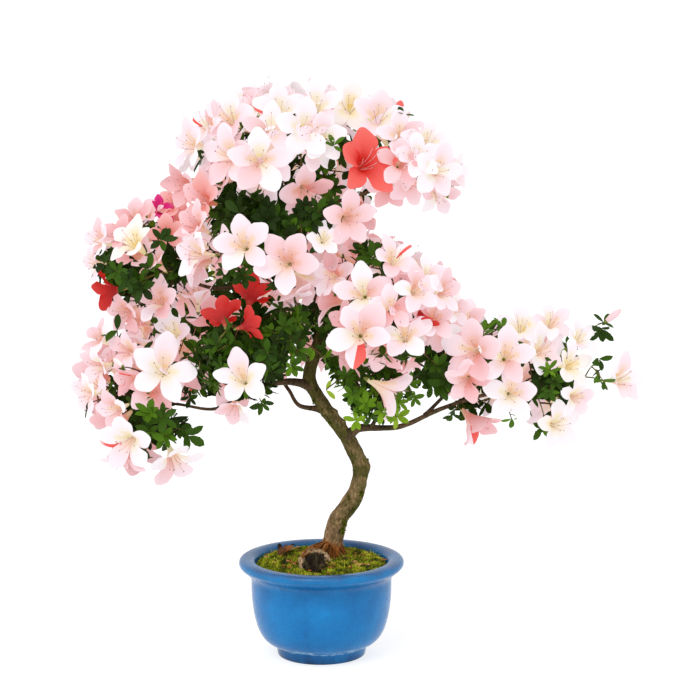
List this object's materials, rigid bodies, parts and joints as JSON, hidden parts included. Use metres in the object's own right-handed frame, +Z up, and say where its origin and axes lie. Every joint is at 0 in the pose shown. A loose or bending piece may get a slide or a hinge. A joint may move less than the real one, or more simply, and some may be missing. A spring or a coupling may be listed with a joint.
{
  "type": "azalea bonsai in a glazed pot",
  "caption": "Azalea bonsai in flower: a curved trunk with boughs and masses of leaves and blossom, growing in mossy soil in a round glazed pot.",
  "frame": {"origin": "middle of the pot's flat underside, on the pot's own axis", "axes": "+Z up along the pot's axis, -Y towards the tree's front, the side the picture shows, and +X to the right seen from the front"},
  "size_m": [0.6137, 0.3197, 0.6271],
  "materials": {
    "glaze": "glossy blue glaze",
    "moss": "moss and soil",
    "bark": "rough bark",
    "foliage": "leaves and petals"
  },
  "bodies": {
    "root": {"pot": "glaze", "mossy_soil": "moss", "trunk": "bark", "surface_root": "bark", "bough_right_low": "bark", "bough_right_inner": "bark", "bough_right_mid": "bark", "bough_left_low": "bark", "bough_back_left": "bark", "bough_front": "bark", "bough_mid_right": "bark", "bough_back_right": "bark", "bough_left_up": "bark", "bough_upper": "bark", "bough_crown_back": "bark", "bough_top_right": "bark", "mass_crown_top": "foliage", "mass_top_right": "foliage", "mass_crown_back": "foliage", "mass_upper": "foliage", "mass_left_up": "foliage", "mass_left_low": "foliage", "mass_front": "foliage", "mass_mid_right": "foliage", "mass_right_mid": "foliage", "mass_right_far": "foliage", "mass_right_inner": "foliage", "mass_back_left": "foliage", "mass_back_right": "foliage"}
  },
  "joints": []
}
